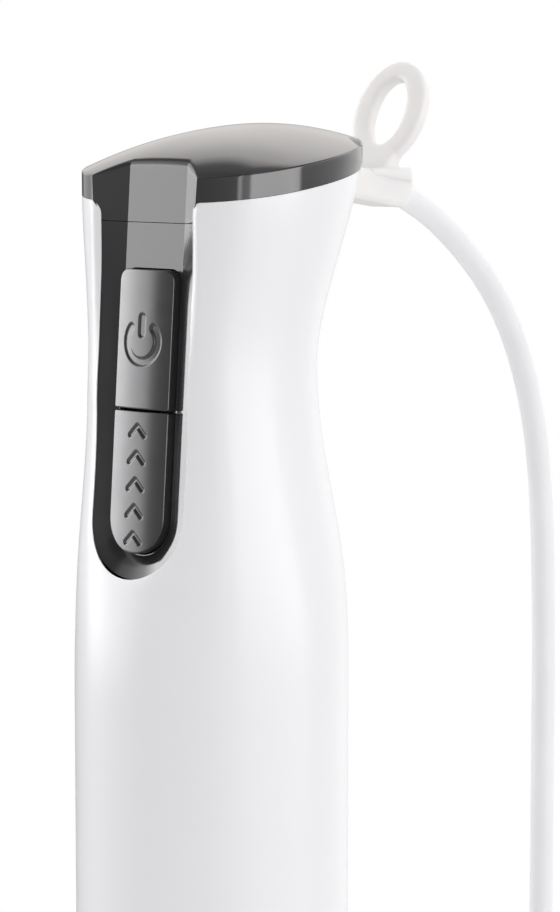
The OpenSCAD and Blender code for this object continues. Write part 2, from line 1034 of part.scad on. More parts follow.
body_shell();
top_cap();
control_bezel();
strain_relief();
hanging_loop();
power_cord();
cord_tail();
cord_coil();
plug_body();
plug_pins();
stator_core();
field_coils();
lower_bracket();
upper_bracket();
lower_bearing();
upper_bearing();
brush_holders();
carbon_brushes();
brush_springs();
lower_damper();
upper_damper();
circuit_board();
power_switch();
turbo_switch();
capacitor();
mains_leads();
motor_leads();
cord_clamp();
clamp_screws();
socket_collar();
latch_clip();
motor_screws();
motor_shaft();
armature_core();
armature_windings();
commutator();
cooling_fan();
drive_coupler();
power_button();
turbo_button();
power_button_spring();
turbo_button_spring();
release_button_left();
release_button_right();
release_spring_left();
release_spring_right();
foot_hub();
foot_spigot();
foot_tube();
bell_guard();
upper_bush();
lower_bush();
shaft_seal();
retaining_ring();
drive_shaft();
driven_coupler();
blade();
blade_nut();
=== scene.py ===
from math import asin, atan, atan2, copysign, cos, dist, hypot, pi, radians, sin, sqrt, tan

import bmesh
import bpy
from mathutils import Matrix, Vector


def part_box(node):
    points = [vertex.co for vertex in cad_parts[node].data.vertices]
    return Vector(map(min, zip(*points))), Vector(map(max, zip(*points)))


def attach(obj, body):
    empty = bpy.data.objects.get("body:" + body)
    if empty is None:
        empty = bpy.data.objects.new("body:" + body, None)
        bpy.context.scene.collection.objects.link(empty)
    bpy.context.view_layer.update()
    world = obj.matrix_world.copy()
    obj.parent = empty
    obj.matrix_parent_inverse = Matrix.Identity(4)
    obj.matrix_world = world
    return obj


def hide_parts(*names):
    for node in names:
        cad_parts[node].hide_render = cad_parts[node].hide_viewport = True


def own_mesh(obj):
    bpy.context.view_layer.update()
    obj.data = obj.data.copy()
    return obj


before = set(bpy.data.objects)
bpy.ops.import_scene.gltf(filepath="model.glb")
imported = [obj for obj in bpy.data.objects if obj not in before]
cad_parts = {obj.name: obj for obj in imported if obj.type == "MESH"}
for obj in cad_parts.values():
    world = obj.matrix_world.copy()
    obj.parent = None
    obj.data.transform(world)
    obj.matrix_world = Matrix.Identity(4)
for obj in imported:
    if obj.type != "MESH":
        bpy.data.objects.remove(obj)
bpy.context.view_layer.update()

# Lengths in this script are in millimetres unless a name ends in _m. Blender gets metres.
MM = 0.001
scene = bpy.context.scene


def put(name, data):
    """A new object in the scene."""
    made = bpy.data.objects.new(name, data)
    scene.collection.objects.link(made)
    return made


# ---- camera: at the height of the cap, 40 degrees round to the right of the buttons ----
AIM = Vector((11.88, 9.97, 322.0))
EYE = Vector((468.08, -533.72, 405.37))
camera = put("camera", bpy.data.cameras.new("camera"))
camera.location = EYE * MM
camera.rotation_euler = (AIM - EYE).to_track_quat("-Z", "Y").to_euler()
camera.data.lens = 125.53
camera.data.sensor_width = 36.0
camera.data.clip_end = 50.0
scene.camera = camera


# ---- materials ----
def add_node(tree, kind, *values, **named):
    """A new shader node. Its inputs, by place or by name, are linked to sockets or set to plain values."""
    node = tree.nodes.new("ShaderNode" + kind)
    for key, value in (*enumerate(values), *named.items()):
        socket = node.inputs[key if isinstance(key, int) else key.replace("_", " ")]
        if isinstance(value, bpy.types.NodeSocket):
            tree.links.new(value, socket)
        else:
            socket.default_value = value
    return node


def noise(tree, coords, size, detail, stretch=(1, 1, 1)):
    """A noise whose blobs are about size millimetres across, stretched along the axes."""
    mapping = add_node(tree, "Mapping", Vector=coords.outputs["Object"], Scale=stretch)
    texture = add_node(tree, "TexNoise", Vector=mapping.outputs["Vector"], Scale=1000.0 / size, Detail=detail)
    return texture.outputs["Fac"]


NOISE_LOW, NOISE_HIGH = 0.3, 0.7  # the usual range of a noise


def finish(name, colour, rough, vary, patch, rough_vary, bumps=(), stretch=(1, 1, 1), **sockets):
    """A Principled material: patches of slightly different colour and roughness, and layers of bump.

    bumps holds (size, depth) or (size, depth, stretch), size and depth in millimetres. sockets are
    plain values of the shader."""
    material = bpy.data.materials.new(name)
    material.use_nodes = True
    tree = material.node_tree
    shader = tree.nodes["Principled BSDF"]
    coords = tree.nodes.new("ShaderNodeTexCoord")
    ramp = add_node(tree, "ValToRGB", noise(tree, coords, patch, 4.0, stretch))
    for element, place, share in zip(ramp.color_ramp.elements, (NOISE_LOW, NOISE_HIGH), (1 - vary, 1 + vary)):
        element.position = place
        element.color = [min(c * share, 1.0) for c in colour] + [1.0]
    tree.links.new(ramp.outputs["Color"], shader.inputs["Base Color"])
    spread = add_node(tree, "MapRange", noise(tree, coords, patch * 0.37, 5.0, stretch),
                      NOISE_LOW, NOISE_HIGH, rough - rough_vary, rough + rough_vary)
    tree.links.new(spread.outputs["Result"], shader.inputs["Roughness"])
    normal = None
    for size, depth, *along in bumps:
        bump = add_node(tree, "Bump", Strength=1.0, Distance=depth * MM,
                        Height=noise(tree, coords, size, 2.0, *along))
        if normal:
            tree.links.new(normal, bump.inputs["Normal"])
        normal = bump.outputs["Normal"]
    if normal:
        tree.links.new(normal, shader.inputs["Normal"])
    for socket, value in sockets.items():
        shader.inputs[socket.replace("_", " ")].default_value = value
    return material


ROUND = (0.03, 0.03, 1)  # brushing that runs round the Z axis
M = {
    "shell": finish("gloss_white_shell", (0.83, 0.83, 0.845), 0.26, 0.002, 60, 0.01,
                    [(0.9, 0.0012)], Specular_IOR_Level=0.3),
    "foot_white": finish("gloss_white_hub", (0.83, 0.83, 0.845), 0.21, 0.006, 40, 0.02,
                         [(0.9, 0.0012)], Specular_IOR_Level=0.3),
    "cap": finish("gloss_grey_cap", (0.030, 0.030, 0.0315), 0.075, 0.04, 25, 0.015,
                  [(0.7, 0.0004)], IOR=1.55),
    "panel": finish("gloss_grey_panel", (0.030, 0.030, 0.0315), 0.1, 0.04, 18, 0.015,
                    [(0.6, 0.0004)], IOR=1.55),
    "button": finish("satin_grey_button", (0.036, 0.036, 0.038), 0.2, 0.05, 9, 0.03,
                     [(0.12, 0.0025), (0.5, 0.0015)], IOR=1.55),
    "milky": finish("milky_soft_plastic", (0.815, 0.8, 0.795), 0.4, 0.015, 8, 0.04, [(0.8, 0.0015)],
                    Specular_IOR_Level=0.2, Subsurface_Weight=0.35, Subsurface_Scale=0.006,
                    Subsurface_Radius=(1.0, 0.85, 0.7)),
    "cord": finish("white_cord_sheath", (0.82, 0.82, 0.835), 0.42, 0.015, 12, 0.04,
                   [(0.5, 0.003)], Specular_IOR_Level=0.25),
    "plug": finish("moulded_white_plug", (0.80, 0.80, 0.80), 0.42, 0.02, 12, 0.05, [(0.35, 0.008)]),
    "steel": finish("brushed_steel", (0.36, 0.36, 0.365), 0.4, 0.03, 9, 0.05,
                    [(0.35, 0.0022, ROUND), (1.4, 0.002, ROUND)], ROUND, Metallic=1.0),
    "bell": finish("satin_steel_bell", (0.38, 0.38, 0.385), 0.42, 0.03, 14, 0.05,
                   [(0.4, 0.0025, ROUND), (2.0, 0.002, ROUND)], ROUND, Metallic=1.0),
    "blade": finish("ground_blade_steel", (0.66, 0.66, 0.67), 0.2, 0.05, 4, 0.07,
                    [(0.25, 0.003, (1, 0.05, 1))], Metallic=1.0),
    "spring": finish("spring_wire", (0.55, 0.55, 0.56), 0.25, 0.06, 2, 0.08,
                     [(0.15, 0.002)], Metallic=1.0),
}


# ---- making pieces ----
def piece(name, points, faces, material, body, replaced, bevel=0.0, angle=35, segments=3,
          thickness=0.0, close=True):
    """Makes a smooth-shaded mesh piece from points in millimetres.

    close turns the faces of a closed skin outwards. Those of an open skin have to be right already."""
    mesh = bpy.data.meshes.new(name)
    mesh.from_pydata([Vector(p) * MM for p in points], [], faces)
    bm = bmesh.new()
    bm.from_mesh(mesh)
    bmesh.ops.remove_doubles(bm, verts=bm.verts, dist=1e-6)
    bmesh.ops.dissolve_degenerate(bm, edges=bm.edges, dist=1e-7)
    if close:
        bmesh.ops.recalc_face_normals(bm, faces=bm.faces)
    for face in bm.faces:
        face.smooth = True
    bm.to_mesh(mesh)
    bm.free()
    mesh.materials.append(material)
    made = put(name, mesh)
    if thickness:
        solid = made.modifiers.new("wall", "SOLIDIFY")
        solid.thickness = thickness * MM
        solid.offset = -1.0
        solid.use_even_offset = True
        solid.thickness_clamp = 1.0
    if bevel:
        edge = made.modifiers.new("edges", "BEVEL")
        edge.width = bevel * MM
        edge.segments = segments
        edge.limit_method = "ANGLE"
        edge.angle_limit = radians(angle)
        edge.harden_normals = True
        edge.use_clamp_overlap = True
    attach(made, body)
    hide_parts(*replaced)
    return made


def grid(rows, loop=False):
    """Quads between rows of equally many points."""
    n = len(rows[0])
    points = [p for row in rows for p in row]
    faces = []
    for i in range(len(rows) - 1):
        for j in range(n if loop else n - 1):
            k = (j + 1) % n
            faces.append((i * n + j, i * n + k, (i + 1) * n + k, (i + 1) * n + j))
    return points, faces


def joined(*parts):
    """One list of points and one of faces from several."""
    points, faces = [], []
    for some_points, some_faces in parts:
        base = len(points)
        points += some_points
        faces += [tuple(base + i for i in face) for face in some_faces]
    return points, faces


def mirrored(part):
    """The part and its mirror image across X."""
    points, faces = part
    return joined(part, ([(-x, y, z) for x, y, z in points], [face[::-1] for face in faces]))


def ellipse(a, b, steps):
    """Points of an ellipse with half axes a and b."""
    return [(a * cos(2 * pi * j / steps), b * sin(2 * pi * j / steps)) for j in range(steps)]


def lathe(profile, steps=128):
    """Turns a closed profile of (radius, height) round the Z axis."""
    return grid([[(x, y, z) for x, y in ellipse(r, r, steps)] for r, z in profile + profile[:1]], True)


def loft(rows):
    """A skin through closed rows of points, with a fan over each end."""
    points, faces = grid(rows, True)
    n = len(rows[0])
    for base, row, turn in ((0, rows[0], 1), (len(points) - n, rows[-1], -1)):
        middle = sum((Vector(p) for p in row), Vector()) / n
        points.append(tuple(middle))
        for j in range(n):
            faces.append((len(points) - 1, base + (j + 1) % n, base + j)[::turn])
    return points, faces


def placed(part, move):
    """The part with each of its points moved."""
    return [move(p) for p in part[0]], part[1]


def arc(cx, cy, r, a0, a1, steps):
    """Points of a circular arc between two angles in degrees."""
    return [(cx + r * cos(radians(a0 + (a1 - a0) * i / steps)),
             cy + r * sin(radians(a0 + (a1 - a0) * i / steps))) for i in range(steps + 1)]


def solve(function, low, high):
    """The place between low and high where a function goes from negative to positive."""
    for _ in range(40):
        middle = (low + high) / 2
        if function(middle) < 0:
            low = middle
        else:
            high = middle
    return (low + high) / 2


# ---- the cord comes down behind the handle and lies in a coil ----
CORD_R = 3.0
COIL = (-36.0, 103.0)  # the coil's middle
COIL_R, COIL_STEP = 36.0, 6.0  # radius of the outer turns, and how much smaller the inner ones are
COIL_HIGH, COIL_LOW = 9.2, 3.15  # heights of the cord's middle in the two layers
ROUTE = [(0, 65.2, 379.3), (0, 69.9, 378.4), (0, 74.7, 376.5), (0, 79.4, 374.3), (0, 86.3, 370.3),
         (0, 94.9, 364.2), (0, 104.1, 356.2), (0, 112, 347), (0, 118, 337), (0, 123, 325),
         (0, 126.5, 311), (0, 128.5, 295), (0, 129.5, 277)]
ROUTE += [(0, 130, z) for z in range(257, 76, -20)]
ROUTE += [(0, 130, 60), (0, 129.6, 48), (0, 128, 37), (0, 124.5, 27), (0, 119, 18.5), (0, 112, 12.5),
          (0, 103, 9.2)]
TAIL = [(-72, 112, 3.15), (-71.6, 124, 3.6), (-70.6, 136, 4.8), (-69, 147, 6.3), (-67, 157, 7)]


def step(value, start, end):
    """A smooth step from 0 at start to 1 at end."""
    t = min(max((value - start) / (end - start), 0.0), 1.0)
    return (1 - cos(pi * t)) / 2


def coil_points():
    """Three and a half turns: one and a half on top, one inside below, and one outside below."""
    points = []
    for turned in range(15, 1261, 15):
        radius = COIL_R - COIL_STEP * (step(turned, 300, 350) - step(turned, 900, 940))
        height = COIL_HIGH - (COIL_HIGH - COIL_LOW) * step(turned, 560, 620)
        angle = -radians(turned)
        points.append((COIL[0] + radius * cos(angle), COIL[1] + radius * sin(angle), height))
    return points


cord_points = ROUTE + coil_points() + TAIL
cord_curve = bpy.data.curves.new("power_cord_sheath", "CURVE")
cord_curve.dimensions = "3D"
cord_curve.bevel_depth = CORD_R * MM
cord_curve.bevel_resolution = 7
cord_curve.use_fill_caps = True
spline = cord_curve.splines.new("BEZIER")
spline.bezier_points.add(len(cord_points) - 1)
for bezier, point in zip(spline.bezier_points, cord_points):
    bezier.co = Vector(point) * MM
    bezier.handle_left_type = bezier.handle_right_type = "AUTO"
spline.resolution_u = 5
cord_curve.materials.append(M["cord"])
cord = put("power_cord_sheath", cord_curve)
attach(cord, "handle")
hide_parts("power_cord", "cord_tail", "cord_coil")

# ---- plug: a tapered grip with finger grooves, on the end of the cord ----
PLUG_TURN = radians(11)


def on_plug(p):
    """From the plug's own frame: y runs from the end of the cord to the pins."""
    x, y, z = p
    c, s = cos(PLUG_TURN), sin(PLUG_TURN)
    return (-67 + x * c + y * s, 157 - x * s + y * c, 7 + z)


def squircle(a, b, n):
    """Points of a superellipse with half axes a and b."""
    out = []
    for j in range(48):
        t = 2 * pi * (j + 0.5) / 48
        c, s = cos(t), sin(t)
        out.append((a * copysign(abs(c) ** (2 / n), c), b * copysign(abs(s) ** (2 / n), s)))
    return out


sections = [(0.2, 3.6, 3.6, 2), (0.6, 4.1, 4.1, 2)]
for rib in range(4):
    y = 1.4 + 2.4 * rib
    size = 4.3 + 0.3 * rib
    low = size - 0.6
    sections += [(y + up, r, r, 2) for up, r in ((0, size), (1.2, size), (1.35, low), (2.2, low))]
sections += [(11.4, 6.6, 5.6, 2.4), (14, 8.6, 6.1, 2.8), (18, 11.6, 6.35, 3.2), (22, 14.4, 6.5, 3.6),
             (26, 16.6, 6.6, 4), (30, 17.4, 6.65, 4.4), (36, 17.6, 6.7, 4.6), (41, 17.6, 6.7, 4.6),
             (41.7, 17.3, 6.4, 4.6), (42, 16.8, 5.9, 4.6)]
rows = [[(x, y, z) for x, z in squircle(a, b, n)] for y, a, b, n in sections]
points, faces = placed(loft(rows), on_plug)
plug = piece("plug_grip", points, faces, M["plug"], "handle", ["plug_body"])

# ---- curves of the handle, close to the CAD model's ----
HANDLE_R, WAIST_HALF, WAIST_BACK, WAIST_FRONT, WAIST_Z = 31.0, 24.5, 22.8, 24.7, 343.0
TOP_HALF, TOP_BACK, TOP_FRONT, TOP_Z = 29.3, 38.7, 24.2, 385.0
BACK_TOP_Z = 388.0  # the back stops widening here
SEAM_Z, BAND_H, DOME_H, SLOPE = 382.6, 5.4, 6.6, 0.1335  # the cap rises by SLOPE towards the back
PANEL_Y, PANEL_Z, TILT = -21.04, 334.0, atan(0.075)  # origin and lean of the panel's frame
OPEN_HALF, OPEN_BOTTOM, FLOOR_HALF = 13.45, -37.1, 8.4  # the shell's opening and the trough's floor
END_V = OPEN_BOTTOM + OPEN_HALF  # below this the opening is a half circle
EDGE_LIMIT = 3.35  # the trough is no deeper than this
STRIP_V = 41.1  # the joint between the panel and the cap
CORNER_R = 2.7  # corners of the opening under the cap
EDGE_ROUND = 2.4  # width over which the shell rounds off towards the opening


def side_at(z):
    """Half width of the handle."""
    return HANDLE_R - (HANDLE_R - WAIST_HALF) * step(z, 275, WAIST_Z) \
        + (TOP_HALF - WAIST_HALF) * step(z, WAIST_Z, TOP_Z)


def back_at(z):
    """How far the handle reaches behind the Z axis."""
    up = max(min(z, BACK_TOP_Z) - WAIST_Z, 0) / (TOP_Z - WAIST_Z)
    opening = (sqrt(1 + (4 * up) ** 2) - 1) / (sqrt(17) - 1)
    return HANDLE_R - (HANDLE_R - WAIST_BACK) * step(z, 290, WAIST_Z) + (TOP_BACK - WAIST_BACK) * opening


def front_at(z):
    """How far the handle reaches in front of the Z axis."""
    hollow = 0.55 * step(z, 335, 350) * (1 - step(z, 362, 380))
    return HANDLE_R - (HANDLE_R - WAIST_FRONT) * step(z, 270, 335) \
        - (WAIST_FRONT - TOP_FRONT) * step(z, 335, TOP_Z) - hollow


def squareness_at(z):
    """Exponent of the front half's superellipse."""
    return 2 + step(z, 275, WAIST_Z) - 0.6 * step(z, WAIST_Z, TOP_Z)


def outline(z, turn):
    """A point of the outline's right half: turn 0 is the front, pi / 2 the side and pi the back."""
    s, c = sin(turn), cos(turn)
    if c < 0:
        return side_at(z) * s, -back_at(z) * c
    e = 2 / squareness_at(z)
    return side_at(z) * max(s, 0) ** e, -front_at(z) * c ** e


def on_height(turn, height):
    """A point of the handle's skin where z is height(y)."""
    z = height(0.0)
    for _ in range(6):
        x, y = outline(z, turn)
        z = height(y)
    return x, y, z


def front_y(x, z):
    """Y of the skin's front at x and z."""
    n = squareness_at(z)
    return -front_at(z) * max(1 - (abs(x) / side_at(z)) ** n, 0) ** (1 / n)


def turn_of(x, z):
    """The turn of outline() that gives x on the front half."""
    return asin(min((abs(x) / side_at(z)) ** (squareness_at(z) / 2), 1.0))


def on_panel(p):
    """From the panel's own frame (x across, depth behind the floor, v up the floor)."""
    x, depth, v = p
    c, s = cos(TILT), sin(TILT)
    return x, PANEL_Y + depth * c + v * s, PANEL_Z - depth * s + v * c


def skin_depth(x, v):
    """How far the handle's skin lies in front of the panel's floor."""
    depth = 3.0
    for _ in range(8):
        _, y, z = on_panel((x, -depth, v))
        depth += (y - front_y(x, z)) / cos(TILT)
    return depth


def edge_dip(v):
    """How far the shell's surface falls in towards the opening's edge."""
    return 0.15 + 1.3 * step(v, 0, 42)


def edge_depth(x, v):
    """Depth of the trough at the opening's edge."""
    z = PANEL_Z + v * cos(TILT)
    y = front_y(x, z)
    return min((PANEL_Y - y) * cos(TILT) + (z - PANEL_Z) * sin(TILT) - edge_dip(v), EDGE_LIMIT)


def over_seam(p):
    """Height of a point over the plane of the cap's seam."""
    return p[2] - SEAM_Z - SLOPE * p[1]


def wall_share(v):
    """Where the trough's side wall meets the skin: 0 at the floor's edge, 1 at the opening's nominal edge."""
    rim = edge_depth(OPEN_HALF, v)
    reach = OPEN_HALF - FLOOR_HALF
    return solve(lambda s: s * rim - skin_depth(FLOOR_HALF + reach * s, v), 0.6, 2.6)


def wall_point(share, v):
    """A point of the right side wall of the trough, in the panel's frame."""
    return (FLOOR_HALF + (OPEN_HALF - FLOOR_HALF) * share, -edge_depth(OPEN_HALF, v) * share, v)


# ---- white shell: one skin round the opening, mirrored ----
SHELL_LOW = 182.05
INSIDE_Y = 4.0  # an upright line at this y runs inside every open skin


def seam_v(x):
    """Height up the panel where the skin at x meets the cap's seam."""
    return solve(lambda v: over_seam(on_panel((x, -skin_depth(x, v), v))), 30.0, 60.0)


def opening_edge(v, top):
    """Half width of the opening, with a round corner under the seam."""
    into = max(CORNER_R - (top - v), 0.0)
    return OPEN_HALF + CORNER_R - sqrt(max(CORNER_R ** 2 - into ** 2, 0.0))


def rounded_skin(x, v, off, share=1.0):
    """A point of the shell's skin, rounded off towards the opening."""
    dip = edge_dip(v) * share * max(1 - off / EDGE_ROUND, 0.0) ** 2
    return on_panel((x, dip - skin_depth(x, v), v))


def shell_half():
    """The right half: a band beside the opening, the field round to the back, and the part below."""
    offsets = [0.0, 0.2, 0.45, 0.75, 1.1, 1.5, 1.95, 2.4, 3.0]
    band = []
    ups = [1 - 0.08 * (i / 10) ** 2 for i in range(11)] + [0.92 - 0.92 * i / 22 for i in range(1, 23)]
    edge_top = seam_v(OPEN_HALF + 1.6)
    for up in ups:  # straight sides, from the seam down
        row = []
        for off in offsets:
            v = END_V + (edge_top - END_V) * up
            x = opening_edge(v, edge_top) + off
            flare = min(max(CORNER_R - (edge_top - v), 0.0) / CORNER_R, 1.0)
            v = END_V + (seam_v(x) - END_V) * up
            row.append(rounded_skin(x, v, off, 1 - flare * flare))
        band.append(row)
    for i in range(1, 25):  # round end
        a = radians(90 * i / 24)
        row = []
        for off in offsets:
            x, v = (OPEN_HALF + off) * cos(a), END_V - (OPEN_HALF + off) * sin(a)
            row.append(rounded_skin(x, v, off))
        band.append(row)
    field = []
    for i, row in enumerate(band):
        x, y, z = row[-1]
        tilt = ups[i] ** 3 if i < len(ups) else 0.0
        start = turn_of(x, z)
        line = [row[-1]]
        for j in range(1, 49):
            turn = start + (pi - start) * j / 48
            line.append(on_height(turn, lambda yy, z=z, y=y, tilt=tilt: z + tilt * SLOPE * (yy - y)))
        field.append(line)
    z_low = band[-1][-1][2]
    below = []
    for i in range(41):
        z = z_low + (SHELL_LOW - z_low) * (i / 40) ** 1.15
        below.append([on_height(pi * j / 48, lambda yy, z=z: z) for j in range(49)])
    return joined(grid(band), grid(field), grid(below))


def outward(part):
    """Turns the quads of an open skin so that they face away from the line inside it."""
    points, faces = part
    out = []
    for face in faces:
        a, b, c, d = (Vector(points[i]) for i in face)
        middle = (a + c) / 2
        away = (c - a).cross(d - b).dot(Vector((middle.x, middle.y - INSIDE_Y, 0)))
        out.append(face if away > 0 else face[::-1])
    return points, out


points, faces = outward(mirrored(shell_half()))
piece("white_shell", points, faces, M["shell"], "handle", ["body_shell"], bevel=0.32,
      angle=40, thickness=2.2, close=False)

# ---- cap: band, dome and the top of the trough in one skin ----
BAND_ROWS = 7
CAP_GAP = 0.08  # between the shell and the cap
TROUGH_LIP, RIM_LIP, LIP_ROWS = 1.3, 0.4, 5  # size of the round edge at the trough and elsewhere
APEX_Y = 8.0  # the rows of the dome close in on this place
HUB_Y = (TOP_BACK - TOP_FRONT) / 2  # the middle of the dome's plan
RING_STEPS = 360
crease_ring = [on_height(pi * i / RING_STEPS, lambda y: SEAM_Z + BAND_H + SLOPE * y)
               for i in range(RING_STEPS + 1)]


def dome_z(x, y):
    """Height of the dome over a point of the plan."""
    dx, dy = abs(x), y - HUB_Y
    share = 0.0  # how far out towards the crease the point lies
    if hypot(dx, dy) > 1e-6:
        angle = atan2(dx, -dy)
        low, high = 0, RING_STEPS
        while high - low > 1:
            middle = (low + high) // 2
            p = crease_ring[middle]
            if atan2(p[0], HUB_Y - p[1]) < angle:
                low = middle
            else:
                high = middle
        p, q = crease_ring[low], crease_ring[high]
        ex, ey = q[0] - p[0], q[1] - p[1]
        share = (dx * ey - dy * ex) / (p[0] * ey - (p[1] - HUB_Y) * ex)
    return SEAM_Z + BAND_H + SLOPE * y + DOME_H * (1 - share * share)


def cap_skin():
    """The right half of the cap: the trough's top, the band, and the dome with its round edge."""
    low_v = STRIP_V + 0.05
    start_v = solve(lambda v: over_seam(on_panel(wall_point(wall_share(v), v))) + 0.1, 35.0, 60.0)
    crease_v = solve(lambda v: over_seam(on_panel(wall_point(wall_share(v), v))) - BAND_H, 40.0, 65.0)
    corner_v = start_v - CORNER_R
    edge_vs = [low_v, (low_v + corner_v) / 2, corner_v, corner_v + 1.0, corner_v + 2.0]
    under = len(edge_vs)
    edge_vs += [start_v + (crease_v - RIM_LIP - start_v) * i / BAND_ROWS for i in range(BAND_ROWS + 1)]
    shares = [(v - low_v) / (edge_vs[-1] - low_v) for v in edge_vs]

    def reach(v):
        """How far the wall goes: it stays behind the white shell until the shell's corner opens."""
        hidden = min(wall_share(v), 1.02)
        return hidden + (wall_share(v) - hidden) * min(max((v - corner_v) / CORNER_R, 0.0), 1.0)

    def top_of(place):
        """Where a line up the trough comes out through the dome."""
        return solve(lambda v: (lambda p: p[2] - dome_z(p[0], p[1]))(on_panel(place(v))), 45.0, 64.0)

    columns, corners = [], []  # a corner is where its column would meet the dome if the edge were sharp
    wall_steps = 6
    for k in range(wall_steps + 1):
        t = 1 - k / wall_steps
        if k == 0:
            columns.append([on_panel(wall_point(reach(v), v)) for v in edge_vs])
            corners.append(on_panel(wall_point(reach(crease_v), crease_v)))
            continue
        top = top_of(lambda v, t=t: wall_point(reach(v) * t, v))
        corners.append(on_panel(wall_point(reach(top) * t, top)))
        top -= RIM_LIP + (TROUGH_LIP - RIM_LIP) * min(k / 3, 1.0)
        columns.append([on_panel(wall_point(reach(v) * t, v))
                        for v in (low_v + (top - low_v) * s for s in shares)])
    floor_steps = 12
    for k in range(1, floor_steps + 1):
        x = FLOOR_HALF * (1 - k / floor_steps)
        top = top_of(lambda v, x=x: (x, 0.0, v))
        corners.append(on_panel((x, 0.0, top)))
        top -= TROUGH_LIP
        columns.append([on_panel((x, 0.0, low_v + (top - low_v) * s)) for s in shares])
    trough = grid(columns)
    start = columns[0][under:]
    band = []
    for r in range(BAND_ROWS + 1):
        x0, y0, _ = start[r]
        row = [start[r]]
        for k in range(1, 7):  # the round corner beside the trough
            along = CORNER_R * (1 - cos(pi / 2 * k / 6))
            x = x0 + along
            inside = max(OPEN_HALF + CORNER_R - x, 0.0)
            low = CAP_GAP - CORNER_R + sqrt(CORNER_R ** 2 - inside ** 2)
            rise = low + (BAND_H - RIM_LIP - low) * r / BAND_ROWS
            z = SEAM_Z + SLOPE * y0 + rise
            for _ in range(6):
                y = front_y(x, z)
                z = SEAM_Z + SLOPE * y + rise
            row.append((x, y, z))
        first = turn_of(row[-1][0], row[-1][2])
        rise = CAP_GAP + (BAND_H - RIM_LIP - CAP_GAP) * r / BAND_ROWS
        for j in range(1, 65):
            turn = first + (pi - first) * j / 64
            row.append(on_height(turn, lambda y, rise=rise: SEAM_Z + SLOPE * y + rise))
        band.append(row)
    rim = [column[-1] for column in columns[::-1]] + band[-1][1:]
    corners = corners[::-1] + [(x, y, z + RIM_LIP) for x, y, z in band[-1][1:]]
    lip, dome = [rim] + [[] for _ in range(LIP_ROWS)], []
    for low, corner in zip(rim, corners):
        radius = dist(low, corner)
        s = 1 - radius / hypot(corner[0], corner[1] - APEX_Y)
        x, y = corner[0] * s, APEX_Y + (corner[1] - APEX_Y) * s
        high = (x, y, dome_z(x, y))
        for k in range(1, LIP_ROWS + 1):
            t = k / LIP_ROWS
            lip[k].append(tuple((1 - t) ** 2 * a + 2 * t * (1 - t) * b + t * t * c
                                for a, b, c in zip(low, corner, high)))
    for i in range(3, 25):
        s = 1 - (i / 24) ** 1.25
        plan = [(x * s, APEX_Y + (y - APEX_Y) * s) for x, y, _ in corners]
        dome.append([(x, y, dome_z(x, y)) for x, y in plan])
    return joined(trough, grid(band), grid(lip + dome))


points, faces = mirrored(cap_skin())
piece("grey_cap", points, faces, M["cap"], "handle", ["top_cap"], bevel=0.35, angle=28,
      thickness=1.6)


# ---- control panel: the lower part of the trough, with a window for the buttons ----
WALL_CROWN = 0.08  # how far the walls bulge, as a share of their depth
RIM_DROP = 0.14  # how much lower the walls are beside the buttons, as a share of the opening's depth


def panel_skin():
    """The right half of the panel: the walls, the ledge round the window, and the floor above it."""
    top_v = STRIP_V - 0.07
    window_top, window_low, window_half, corner = 31.1, -31.8, 8.2, 2.9
    window_c = window_low + window_half
    turn_v = window_top - corner
    outer = [(FLOOR_HALF, top_v - (top_v - turn_v) * i / 8) for i in range(9)]
    outer += [(FLOOR_HALF, turn_v + (END_V - turn_v) * i / 22) for i in range(1, 23)]
    outer += arc(0, END_V, FLOOR_HALF, 0, -90, 16)[1:]
    walls = []
    for x, v in outer:
        row = []
        straight = v >= END_V
        c, s = (1.0, 0.0) if straight else (x / FLOOR_HALF, (END_V - v) / FLOOR_HALF)
        ex, ev = (OPEN_HALF, v) if straight else (OPEN_HALF * c, END_V - OPEN_HALF * s)
        rim = edge_depth(ex, ev) * (1 - RIM_DROP * (1 - step(v, 18, 38)))
        crown = 1 - step(v, 24, 36)
        for k in (1.01, 0.97, 0.85, 0.7, 0.56, 0.49, 0.4, 0.28, 0.14, 0.0):
            deep = k + WALL_CROWN * crown * max(min(k / 0.45, (1 - k) / 0.55), 0)
            row.append(on_panel((x + (ex - x) * k, -rim * deep, v + (ev - v) * k)))
        walls.append(row)
    inner = arc(window_half - corner, turn_v, corner, 90, 0, 8)
    inner += [(window_half, turn_v + (window_c - turn_v) * i / 22) for i in range(1, 23)]
    inner += arc(0, window_c, window_half, 0, -90, 16)[1:]
    ledge = [[on_panel((a[0] + (b[0] - a[0]) * t, 0.0, a[1] + (b[1] - a[1]) * t)) for t in (0.0, 0.5, 1.0)]
             for a, b in zip(outer, inner)]
    across = []
    for i in range(7):
        u = 1 - i / 6
        across.append([on_panel((FLOOR_HALF * u + (inner[0][0] - FLOOR_HALF) * u * t, 0.0,
                                 top_v + (window_top - top_v) * t)) for t in (0.0, 0.5, 1.0)])
    return joined(grid(walls), grid(ledge), grid(across))


points, faces = mirrored(panel_skin())
piece("grey_panel", points, faces, M["panel"], "handle", ["control_bezel"], bevel=0.1, angle=25,
      segments=2, thickness=1.7)


# ---- buttons: crowned faces with soft edges and sunk marks ----
BUTTON_HALF, BUTTON_RISE, BUTTON_CROWN, BUTTON_FILLET = 7.9, 2.1, 1.0, 0.32
MARK_DEPTH, MARK_SOFT = 0.42, 0.16


def segment(x, v, x0, v0, x1, v1):
    """Distance from a point to a line segment."""
    dx, dv = x1 - x0, v1 - v0
    t = min(max(((x - x0) * dx + (v - v0) * dv) / (dx * dx + dv * dv), 0.0), 1.0)
    return hypot(x - x0 - dx * t, v - v0 - dv * t)


